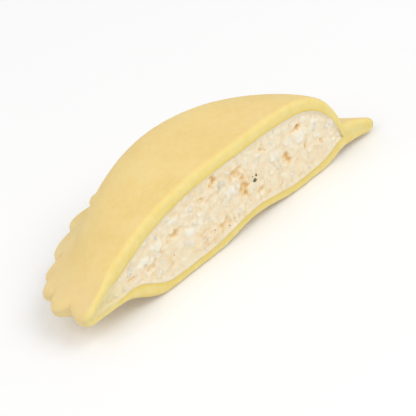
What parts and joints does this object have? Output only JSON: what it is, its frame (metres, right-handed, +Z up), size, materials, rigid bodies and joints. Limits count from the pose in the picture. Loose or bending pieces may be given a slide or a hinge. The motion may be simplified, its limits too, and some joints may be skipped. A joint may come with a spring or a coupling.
{
  "type": "ravioli",
  "caption": "Cut half of a large oval ravioli: a smooth domed top sheet, a soft cheese filling and a bottom sheet, pressed into a scalloped rim.",
  "frame": {"origin": "on the resting plane, under the middle of the bounding box", "axes": "+X along the cut, from the end whose rim is raised to the lower end; +Y from the cut to the back of the rim; +Z up"},
  "size_m": [0.0662, 0.0268, 0.0153],
  "materials": {
    "egg_dough": "soft cooked egg pasta, matt with a faint moist sheen, slightly translucent",
    "cheese_filling": "crumbly moist fresh cheese, pale cream with straw-coloured pits"
  },
  "bodies": {
    "root": {"top_sheet": "egg_dough", "bottom_sheet": "egg_dough", "filling": "cheese_filling"}
  },
  "joints": []
}
